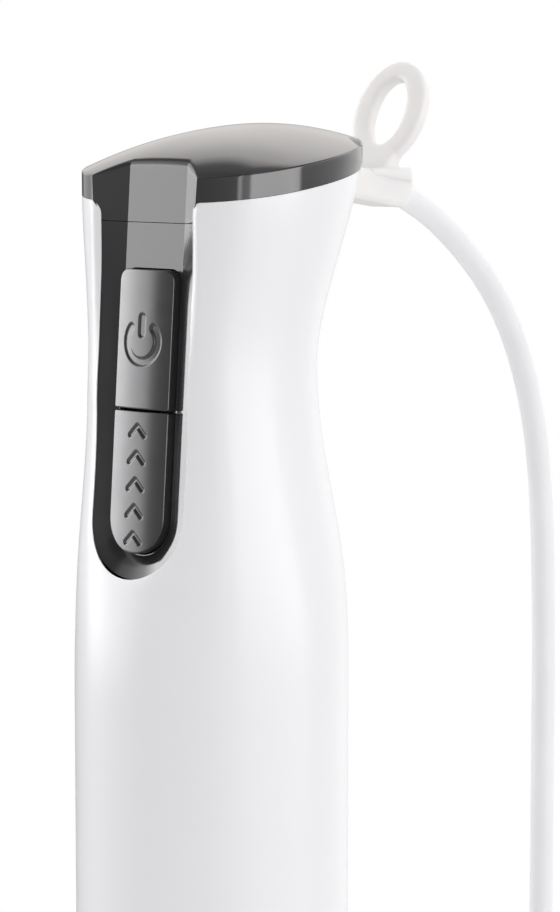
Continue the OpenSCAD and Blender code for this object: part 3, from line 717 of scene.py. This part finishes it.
def standby(x, v):
    """Signed distance to a broken ring with an upright bar: negative inside the groove."""
    v -= 15.0
    middle, half = 4.45, 0.85
    bar = segment(x, v, 0, 1.8, 0, 5.3)
    angle, limit = atan2(abs(x), v), radians(47)
    if angle > limit:
        ring = abs(hypot(x, v) - middle)
    else:
        ring = hypot(abs(x) - middle * sin(limit), v - middle * cos(limit))
    return min(bar, ring) - half


def arrows(x, v):
    """Signed distance to five arrow heads, one below the other."""
    best = 9.0
    for i in range(5):
        tip = -3.4 - 5.9 * i
        best = min(best, segment(abs(x), v, 0, tip, 2.1, tip - 2.1) - 0.45)
    return best


def button_face(v0, v1, top_r, bottom_r, mark):
    """A button's face and sides in the panel's frame."""
    half = BUTTON_HALF
    middle = (v0 + v1) / 2

    def inside(x, v):
        r = top_r if v > middle else bottom_r
        limit = v1 if v > middle else v0
        px = abs(x) - (half - r)
        pv = abs(v - middle) - (abs(limit - middle) - r)
        return r - (hypot(max(px, 0), max(pv, 0)) + min(max(px, pv), 0))

    def half_width(v):
        into_top, into_low = v - (v1 - top_r), (v0 + bottom_r) - v
        if into_top > 0:
            return half - top_r + sqrt(max(top_r ** 2 - into_top ** 2, 0))
        if into_low > 0:
            return half - bottom_r + sqrt(max(bottom_r ** 2 - into_low ** 2, 0))
        return half

    vs = [v0 + bottom_r * (1 - cos(pi / 2 * i / 14)) for i in range(14)]
    steps = int((v1 - top_r - v0 - bottom_r) / 0.21)
    vs += [v0 + bottom_r + (v1 - top_r - v0 - bottom_r) * i / steps for i in range(steps)]
    vs += [v1 - top_r + top_r * sin(pi / 2 * i / 14) for i in range(15)]
    if bottom_r > 5:  # a long round end needs even rows too
        vs = sorted(set(vs) | {v0 + bottom_r * i / 36 for i in range(3, 36)})
    us = [-1 + 0.04 * (i / 6) ** 1.5 for i in range(6)] + [-0.96 + 1.92 * i / 84 for i in range(85)]
    us += [1 - 0.04 * (i / 6) ** 1.5 for i in range(5, -1, -1)]
    rows = []
    for v in vs:
        wide = half_width(v)
        row = []
        for u in us:
            x = u * wide
            top = BUTTON_RISE + BUTTON_CROWN * (1 - (x / half) ** 2)
            short = BUTTON_FILLET - min(max(inside(x, v), 0.0), BUTTON_FILLET)
            drop = BUTTON_FILLET - sqrt(BUTTON_FILLET ** 2 - short ** 2)
            sunk = mark(x, v)
            groove = MARK_DEPTH * (1 - step(sunk, -MARK_SOFT, MARK_SOFT))
            row.append((x, -(top - drop - groove), v))
        rows.append(row)
    points, faces = grid(rows)
    n, m = len(us), len(vs)
    border = list(range(n)) + [i * n + n - 1 for i in range(1, m)]
    border += [(m - 1) * n + j for j in range(n - 2, -1, -1)] + [i * n for i in range(m - 2, 0, -1)]
    rim = [points[i] for i in border]
    sides = [rim, [(x, -0.4, v) for x, _, v in rim], [(x, 2.2, v) for x, _, v in rim]]
    return joined((points, faces), grid(sides, True))


def button_back(v0, v1, top_r, bottom_r, stem):
    """The flange behind the panel and the stem that works the switch."""
    half = BUTTON_HALF + 1.2
    ring = arc(half - top_r, v1 - top_r, top_r, 0, 90, 6)
    ring += arc(top_r - half, v1 - top_r, top_r, 90, 180, 6)
    ring += arc(bottom_r - half, v0 + bottom_r, bottom_r, 180, 270, 14)
    ring += arc(half - bottom_r, v0 + bottom_r, bottom_r, 270, 360, 14)
    plate = loft([[(x, y, v) for x, v in ring] for y in (2.3, 3.5)])
    rod = loft([[(x, y, stem + v) for x, v in ellipse(r, r, 24)]
                for y, r in ((3.4, 1.4), (5.4, 1.4), (5.7, 1.15))])
    return joined(plate, rod)


for body, v0, v1, top_r, bottom_r, mark, stem, past_low, past_top in (
        ("power_button", 0.25, 30.8, 2.6, 0.45, standby, 16, 0, 1.2),
        ("turbo_button", -31.5, -0.25, 0.45, 7.9, arrows, -15, 1.2, 0)):
    face = button_face(v0, v1, top_r, bottom_r, mark)
    back = button_back(v0 - past_low, v1 + past_top, top_r, bottom_r, stem)
    points, faces = placed(joined(face, back), on_panel)
    piece(body + "_cap", points, faces, M["button"], body, [body])


# ---- strain relief, and the loop that stands on it ----
BOOT_DROP, BOOT_Y, BOOT_Z = radians(9), 37.5, 383.65
BOOT_SLANT = 1.5  # its far end reaches this much further at the top


def on_boot(p):
    """From the strain relief's own frame: y runs along the cord."""
    x, y, z = p
    c, s = cos(BOOT_DROP), sin(BOOT_DROP)
    return x, BOOT_Y + y * c + z * s, BOOT_Z - y * s + z * c


def round_rect(w, h, r):
    """A rectangle with round corners, centred."""
    x, y = w / 2 - r, h / 2 - r
    return [p for cx, cy, a in ((x, y, 0), (-x, y, 90), (-x, -y, 180), (x, -y, 270))
            for p in arc(cx, cy, r, a, a + 90, 6)]


boot = [(-7.4, 17.5, 11, 2), (-5.25, 17.5, 11, 2), (-5.2, 12.6, 7.5, 1.7), (0, 12.6, 7.5, 1.7),
        (8, 12.5, 7.4, 1.6), (16, 12.3, 7.3, 1.5), (22, 12.1, 7.2, 1.45), (26.6, 11.9, 7.1, 1.4),
        (27.4, 11.7, 6.9, 1.4), (27.85, 11.2, 6.45, 1.3), (28, 10.5, 5.8, 1.2)]
rows = [[(x, y + BOOT_SLANT * step(y, 14, 26) * (0.5 + z / h), z) for x, z in round_rect(w, h, r)]
        for y, w, h, r in boot]
points, faces = placed(loft(rows), on_boot)
piece("strain_relief_sleeve", points, faces, M["milky"], "handle", ["strain_relief"])

LEAN, RING_Y, RING_Z, TIER_Y = radians(25), 65.2, 398.0, 58.4
RING_HALF, RING_SQUARE = 1.8, 0.55  # half the ring's thickness, and how square its section is


def on_ring(p):
    """From the ring's own frame: x across, depth along its axis, z up its plane."""
    x, depth, z = p
    c, s = cos(LEAN), sin(LEAN)
    return x, RING_Y + depth * c + z * s, RING_Z - depth * s + z * c


rows = []
for (hole_x, hole_z), (outer_x, outer_z) in zip(ellipse(4.75, 8.3, 96), ellipse(10.1, 13.2, 96)):
    row = []
    for c, s in ellipse(1, 1, 24):
        u = 0.5 + 0.5 * copysign(abs(c) ** RING_SQUARE, c)
        row.append(on_ring((hole_x + (outer_x - hole_x) * u, RING_HALF * copysign(abs(s) ** RING_SQUARE, s),
                            hole_z + (outer_z - hole_z) * u)))
    rows.append(row)
ring_part = grid(rows + [rows[0]], True)
necks = ((-16.3, 10.6, 6), (-14, 10.6, 5.6), (-12, 10.9, 4.6), (-10.2, 11.8, 3.8), (-9, 12.4, 3.5))
neck = placed(loft([[(x, y, z) for x, y in round_rect(w, d, 1.4)] for z, w, d in necks]), on_ring)
tiers = ((380.6, 11.2, 15.6), (382.6, 12.0, 16.4), (384.6, 12.1, 16.5), (385.1, 11.9, 16.3),
         (385.35, 11.2, 15.5))
tier = loft([[(x, TIER_Y + y, z) for x, y in round_rect(w, d, 1.2)] for z, w, d in tiers])
points, faces = joined(ring_part, neck, tier)
loop = piece("hanging_ring", points, faces, M["milky"], "handle", ["hanging_loop"])
remesh = loop.modifiers.new("one_skin", "REMESH")
remesh.mode = "VOXEL"
remesh.voxel_size = 0.28 * MM
remesh.use_smooth_shade = True
soften = loop.modifiers.new("soften", "SMOOTH")
soften.factor = 0.5
soften.iterations = 6

# ---- joint, foot and bell ----
points, faces = lathe([(30.6, 176), (31, 176.35), (31, 181.7), (30.8, 181.95), (28.7, 181.95), (28.7, 185),
                       (22.6, 185), (22.6, 202), (9.5, 202), (9.5, 199), (20.3, 199), (20.3, 176)])
piece("grey_joint_collar", points, faces, M["cap"], "handle", ["socket_collar"], bevel=0.2,
      angle=50)

hub = [(14.55, 148), (15.1, 147.6), (15.6, 147.8)]
hub += [(15.6 + 14.2 * step(z, 148, 173), z) for z in (148 + 24 * i / 28 for i in range(29))]
hub += [(30.2, 173.6), (30.2, 175.2), (29.7, 175.7), (20.02, 175.7), (20.02, 172), (6, 172), (6, 158),
        (14.55, 158)]
points, faces = lathe(hub)
piece("white_foot_hub", points, faces, M["foot_white"], "foot", ["foot_hub"], bevel=0.25,
      angle=50)

tube = [(12, 44)] + [(12 + 2.5 * step(z, 80, 135), z) for z in (80 + 55 * i / 24 for i in range(25))]
tube += [(14.5, 157.9), (13.7, 157.9), (13.7, 135), (11.2, 80), (11.2, 44)]
points, faces = lathe(tube)
piece("steel_foot_tube", points, faces, M["steel"], "foot", ["foot_tube"])

BELL_R, NECK_R, BRIM, BELL_RISE = 34.0, 13.2, 14.0, 30.0  # the bell is upright below BRIM
ARCH_R, ARCH_Z, ARCH_HALF, SILL = 10.0, -3.0, 8.9, 1.8  # the windows


def bell_skin():
    """The bell's outside from the neck down to its rim, with four arched windows over the rim."""
    steps = 192
    profile = [(NECK_R, 56.0), (NECK_R, 52.0), (NECK_R, 48.0), (NECK_R, 45.4)]
    profile += [(NECK_R + (BELL_R - NECK_R) * sin(a), BRIM + BELL_RISE * cos(a))
                for a in (pi / 2 * (i + 0.35) / 24 for i in range(24))] + [(BELL_R, BRIM)]
    rows = [[(x, y, z) for x, y in ellipse(r, r, steps)] for r, z in profile]
    brim = ellipse(BELL_R, BELL_R, steps)

    def arch(j):
        """Height of the window's arch at one of the columns, or the sill where there is no window."""
        a = (2 * pi * j / steps) % (pi / 2) - pi / 4
        t = abs(BELL_R * sin(a))
        return max(ARCH_Z + sqrt(ARCH_R ** 2 - t * t), SILL) if t < ARCH_HALF else SILL

    for share in (0.25, 0.5, 0.75, 0.92, 1.0):
        rows.append([(x, y, BRIM + (arch(j) - BRIM) * share) for j, (x, y) in enumerate(brim)])
    rim = [[(x, y, z) for x, y in brim] for z in (SILL, SILL * 0.6, SILL * 0.3, 0.0)]
    return joined(grid(rows, True), grid(rim, True))


points, faces = outward(bell_skin())
piece("steel_bell", points, faces, M["bell"], "foot", ["bell_guard"], bevel=0.25, angle=40,
      segments=2, thickness=1.2, close=False)


# ---- blade: two wings bent up at their tips, ground to an edge ----
BLADE_Z, BEND_FROM, BEND, PITCH = 11.25, 18.0, radians(32), radians(10)


def wing(turn):
    """One wing along +X before it is turned round the shaft."""
    rows = []
    for i in range(25):
        t = i / 24
        out = 3.6 + 21.2 * t
        bent = max(out - BEND_FROM, 0.0)
        z = BLADE_Z + bent * tan(BEND) * step(bent, -1.5, 3.0)
        chord = 4.6 - 0.8 * step(t, 0.1, 1.0) - 1.2 * step(t, 0.86, 1.0)
        row = []
        for y, h in ((-chord, 0.02), (-chord + 2.0, 0.66), (chord - 0.6, 0.7), (chord, 0.4), (chord, -0.4),
                     (chord - 0.6, -0.7), (-chord + 0.6, -0.7)):
            row.append((out, y * cos(PITCH) - h * sin(PITCH), z + y * sin(PITCH) + h * cos(PITCH)))
        rows.append(row)
    c, s = cos(turn), sin(turn)
    return placed(loft(rows), lambda p: (p[0] * c - p[1] * s, p[0] * s + p[1] * c, p[2]))


hub_part = lathe([(2.53, 9.62), (4.6, 9.62), (5, 9.95), (5, 13.6), (4.6, 14), (2.53, 14)], 64)
points, faces = joined(wing(0.0), wing(pi), hub_part)
piece("ground_blade", points, faces, M["blade"], "blade", ["blade"], bevel=0.12, angle=30,
      segments=2)


# ---- release buttons with grip grooves ----
PAD_Z, PAD_Y_HALF, PAD_Z_HALF = 195.0, 6.0, 8.0


def release_cap(side):
    """An oval pad with three grooves, on a flange behind the shell."""
    rows = []
    edge = ((0.0, 1.0), (0.45, 1.0), (0.75, 0.985), (0.95, 0.955), (1.1, 0.9), (1.18, 0.8))
    for depth, share in edge + tuple((1.2, share) for share in (0.65, 0.5, 0.35, 0.2, 0.07)):
        row = []
        for y, z in ellipse(PAD_Y_HALF * share, PAD_Z_HALF * share, 72):
            groove = 0.22 * max(cos(3 * pi * z / PAD_Z_HALF), 0) * step(0.84 - share, 0.0, 0.2)
            row.append((side * (sqrt(HANDLE_R ** 2 - y * y) + depth * 0.98 - groove), y, PAD_Z + z))
        rows.append(row)
    parts = [[[(side * 26.8, y, PAD_Z + z) for y, z in ellipse(PAD_Y_HALF, PAD_Z_HALF, 72)]] + rows]
    for a, b, steps, x0, x1 in ((7.2, 9.2, 48, 25.6, 26.9), (1.4, 1.4, 24, 22.5, 25.7)):  # flange and rod
        parts.append([[(side * x, y, PAD_Z + z) for y, z in ellipse(a, b, steps)] for x in (x0, x1)])
    return joined(*map(loft, parts))


SIDES = ((-1, "left"), (1, "right"))
for side, word in SIDES:
    points, faces = release_cap(side)
    piece("release_pad_" + word, points, faces, M["button"], "release_button_" + word,
          ["release_button_" + word])


# ---- return springs: open coils ----
def coil_spring(node, axis, radius, wire, height, turns):
    """A coil along axis, which points the way the button goes."""
    low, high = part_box(node)
    middle = (low + high) / 2 / MM
    axis = Vector(axis)
    side = Vector((1, 0, 0)) if abs(axis.x) < 0.5 else Vector((0, 0, 1))
    across = axis.cross(side)
    rows = []
    per_turn = 28
    steps = int(turns * per_turn)
    for i in range(steps + 1):
        a = 2 * pi * i / per_turn
        out = side * cos(a) + across * sin(a)
        along = (height - wire) * (i / steps - 0.5)
        rows.append([tuple(middle + axis * (along + v) + out * (radius + u))
                     for u, v in ellipse(wire / 2, wire / 2, 10)])
    points, faces = loft(rows)
    made = piece(node.replace("spring", "coil"), points, faces, M["spring"], "handle", [node])
    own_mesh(made)


INWARD = (0, cos(TILT), -sin(TILT))
for word in ("power", "turbo"):
    coil_spring(word + "_button_spring", INWARD, 2.35, 0.4, 1.6, 2.25)
for side, word in SIDES:
    coil_spring("release_spring_" + word, (-side, 0, 0), 3.0, 0.5, 2.7, 3.25)

# ---- materials of the CAD nodes that keep their shape ----
KEPT = [
    (finish("nickel_pin", (0.72, 0.69, 0.62), 0.2, 0.06, 5, 0.06, [(0.4, 0.002)], Metallic=1.0),
     "plug_pins"),
    (finish("laminated_core_steel", (0.20, 0.20, 0.21), 0.45, 0.1, 6, 0.1,
            [(0.5, 0.05, (0.001, 0.001, 1))], (0.01, 0.01, 1), Metallic=0.9), "stator_core", "armature_core"),
    (finish("enamelled_copper", (0.62, 0.24, 0.10), 0.3, 0.15, 3, 0.08,
            [(0.6, 0.12, (0.02, 0.02, 1))], Metallic=0.8), "field_coils", "armature_windings", "commutator"),
    (finish("black_nylon", (0.018, 0.018, 0.019), 0.5, 0.15, 6, 0.08, [(0.3, 0.01)]),
     "lower_bracket", "upper_bracket", "power_switch", "turbo_switch", "drive_coupler", "driven_coupler",
     "lower_bush"),
    (finish("sintered_bronze", (0.50, 0.34, 0.16), 0.45, 0.12, 1.5, 0.1, [(0.25, 0.012)], Metallic=1.0),
     "lower_bearing", "upper_bearing", "brush_holders", "upper_bush"),
    (finish("carbon_block", (0.02, 0.02, 0.021), 0.6, 0.2, 1.2, 0.1, [(0.2, 0.01)]), "carbon_brushes"),
    (M["spring"], "brush_springs", "latch_clip", "retaining_ring"),
    (finish("black_rubber", (0.02, 0.02, 0.02), 0.75, 0.15, 5, 0.08, [(0.3, 0.015)]),
     "lower_damper", "upper_damper"),
    (finish("glass_fibre_board", (0.02, 0.16, 0.06), 0.35, 0.15, 2, 0.08, [(0.5, 0.006)]),
     "circuit_board"),
    (finish("yellow_capacitor_case", (0.62, 0.42, 0.04), 0.35, 0.05, 5, 0.06, [(0.8, 0.01)]), "capacitor"),
    (finish("brown_insulation", (0.16, 0.06, 0.025), 0.42, 0.08, 6, 0.06, [(0.4, 0.008)]), "mains_leads"),
    (finish("red_insulation", (0.45, 0.03, 0.02), 0.42, 0.08, 6, 0.06, [(0.4, 0.008)]), "motor_leads"),
    (finish("white_nylon", (0.72, 0.72, 0.69), 0.42, 0.03, 8, 0.06, [(0.3, 0.006)]),
     "cord_clamp", "cooling_fan", "foot_spigot"),
    (finish("zinc_plated_screw", (0.60, 0.61, 0.62), 0.3, 0.06, 2, 0.08, [(0.2, 0.003)], Metallic=1.0),
     "clamp_screws", "motor_screws"),
    (finish("ground_shaft_steel", (0.58, 0.58, 0.59), 0.22, 0.04, 6, 0.06,
            [(0.2, 0.001, ROUND)], ROUND, Metallic=1.0), "motor_shaft", "drive_shaft"),
    (finish("red_silicone", (0.35, 0.05, 0.04), 0.5, 0.1, 5, 0.08, [(0.3, 0.008)]), "shaft_seal"),
    (M["blade"], "blade_nut"),
]
for material, *nodes in KEPT:
    for node in nodes:
        for material_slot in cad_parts[node].material_slots:
            material_slot.material = material

# ---- stage: a pale round floor that fades into the white surroundings, and soft studio light ----
floor_r_m, fade_from_m, floor_z_m, floor_steps = 0.72, 0.42, -0.0005, 96
floor_mesh = bpy.data.meshes.new("floor")
floor_mesh.from_pydata([(x, y, floor_z_m) for x, y in ellipse(floor_r_m, floor_r_m, floor_steps)],
                       [], [tuple(range(floor_steps))])
floor_look = finish("pale_floor", (0.90, 0.90, 0.90), 0.6, 0.004, 400, 0.02)
tree = floor_look.node_tree
distance = add_node(tree, "VectorMath", tree.nodes["Texture Coordinate"].outputs["Object"])
distance.operation = "LENGTH"
fade = add_node(tree, "MapRange", distance.outputs["Value"], From_Min=fade_from_m, From_Max=floor_r_m)
fade.interpolation_type = "SMOOTHSTEP"
blend = add_node(tree, "MixShader", fade.outputs["Result"], tree.nodes["Principled BSDF"].outputs["BSDF"],
                 add_node(tree, "BsdfTransparent").outputs["BSDF"])
tree.links.new(blend.outputs["Shader"], tree.nodes["Material Output"].inputs["Surface"])
floor_mesh.materials.append(floor_look)
put("floor", floor_mesh)

# The room that the gloss mirrors, as (angle, brightness). Azimuths are in degrees: 0 towards -Y, the
# buttons' side, and 90 towards +X. AMBIENT is the light that falls on everything.
LEFT = [(-180, 0), (-116, 0), (-111, 0.8), (-98, 0.9), (-91, 0.95), (-87, 1.5), (-82, 5.5), (-76, 7.2),
        (-62, 7.8), (-47, 5.4), (-36, 4.2), (-28, 0.5), (-20, 0), (180, 0)]
RIGHT = [(-180, 0), (42, 0), (45.5, 0.1), (47, 3.4), (50, 3.4), (52.5, 0.9), (61, 1.2), (64, 5.6),
         (120, 5.0), (128, 4.0), (132, 0), (180, 0)]
WALLS = [(-180, 1.3), (-165, 1.2), (-155, 0.9), (-148, 0.45), (-140, 0.15), (-116, 0.12), (-95, 0.25),
         (-30, 0.35), (5, 0.3), (30, 0.5), (60, 0.8), (126, 0.9), (140, 0.75), (160, 0.9), (172, 1.2),
         (180, 1.3)]
BACK = [(-180, 0.85), (-165, 1.0), (-138, 1.0), (-130, 0.87), (-125, 0.75), (-105, 0.5), (-80, 0.2),
        (0, 0.15), (70, 0.25), (120, 0.45), (180, 0.85)]
AMBIENT = [(-180, 0.93), (-140, 1.1), (-110, 1.46), (-60, 1.22), (-10, 0.79), (28, 0.51), (60, 0.98),
           (92, 1.52), (120, 1.14), (160, 0.93), (180, 0.93)]
# Elevations, from straight down to straight up.
TALL_LEFT = [(-90, 0.08), (-12, 0.12), (-8, 0.25), (-4.5, 1.0), (18, 1.0), (28, 0.35), (45, 0.12),
             (90, 0.1)]
TALL_RIGHT = [(-90, 0.12), (-12, 0.18), (-8, 0.35), (-5, 1.0), (18, 1.0), (28, 0.35), (45, 0.12),
              (90, 0.1)]
LOW = [(-90, 0.8), (-10, 1.0), (2, 1.0), (12, 0.5), (22, 0.15), (90, 0.1)]
HIGH = [(-90, 0), (-3, 0), (4, 0.45), (10, 0.9), (15, 1.25), (22, 1.6), (30, 1.95), (36, 2.1),
        (46, 1.95), (49, 1.3), (52, 0.35), (60, 0.2), (90, 0.25)]
AMBIENT_UP = [(-90, 0.85), (-10, 0.9), (30, 1.0), (90, 1.15)]

world = bpy.data.worlds.new("studio")
world.use_nodes = True
world.cycles.sampling_method = "NONE"
scene.world = world
tree = world.node_tree


def number(operation, *values):
    node = add_node(tree, "Math", *values)
    node.operation = operation
    return node.outputs["Value"]


def clamped(value, low, high):
    return number("MINIMUM", number("MAXIMUM", value, low), high)


def profile(value, stops, tint=(1, 1, 1)):
    """A colour that follows the stops of (angle in degrees, level), the first and last being its range."""
    low, high = stops[0][0], stops[-1][0]
    place = add_node(tree, "MapRange", value, From_Min=radians(low), From_Max=radians(high))
    ramp = add_node(tree, "ValToRGB", place.outputs["Result"])
    elements = ramp.color_ramp.elements
    for angle, _ in stops[1:-1]:
        elements.new((angle - low) / (high - low))
    for element, (_, level) in zip(elements, stops):
        element.color = [level * c for c in tint] + [1.0]
    return ramp.outputs["Color"]


def mixed(blend_type, a, b):
    node = add_node(tree, "MixRGB", 1.0, a, b)
    node.blend_type = blend_type
    return node.outputs["Color"]


def background(colour=(1.0, 1.0, 1.0, 1.0)):
    return add_node(tree, "Background", Color=colour).outputs["Background"]


def either(choice, when_not, when):
    return add_node(tree, "MixShader", choice, when_not, when).outputs["Shader"]


coords = tree.nodes.new("ShaderNodeTexCoord")
split = add_node(tree, "SeparateXYZ", Vector=coords.outputs["Generated"])
azimuth = number("ARCTAN2", split.outputs["X"], number("MULTIPLY", split.outputs["Y"], -1.0))
elevation = number("ARCSINE", split.outputs["Z"])
# HIGH is read up to 15 degrees higher past azimuth -140, so the upper light slants there. The lowest
# few degrees stay as they are.
shift = clamped(number("MULTIPLY", number("ADD", azimuth, radians(140)), 0.5), 0.0, radians(15))
above = clamped(number("MULTIPLY", number("SUBTRACT", elevation, radians(3)), 7.0), 0.0, 1.0)
shift = number("MULTIPLY", shift, above)
left = mixed("MULTIPLY", profile(azimuth, LEFT, (0.985, 0.985, 1.0)), profile(elevation, TALL_LEFT))
right = mixed("MULTIPLY", profile(azimuth, RIGHT, (0.985, 0.985, 1.0)), profile(elevation, TALL_RIGHT))
walls = mixed("MULTIPLY", profile(azimuth, WALLS), profile(elevation, LOW))
back = mixed("MULTIPLY", profile(azimuth, BACK, (1.0, 0.965, 0.94)),
             profile(number("ADD", elevation, shift), HIGH))
mirrored_room = background(mixed("ADD", mixed("ADD", left, right), mixed("ADD", walls, back)))
ambient = mixed("MULTIPLY", profile(azimuth, AMBIENT), profile(elevation, AMBIENT_UP))
path = tree.nodes.new("ShaderNodeLightPath")
lit = either(path.outputs["Is Glossy Ray"], background(ambient), mirrored_room)
shown = either(path.outputs["Is Camera Ray"], lit, background())
tree.links.new(shown, tree.nodes["World Output"].inputs["Surface"])
scene.view_settings.view_transform = "Standard"
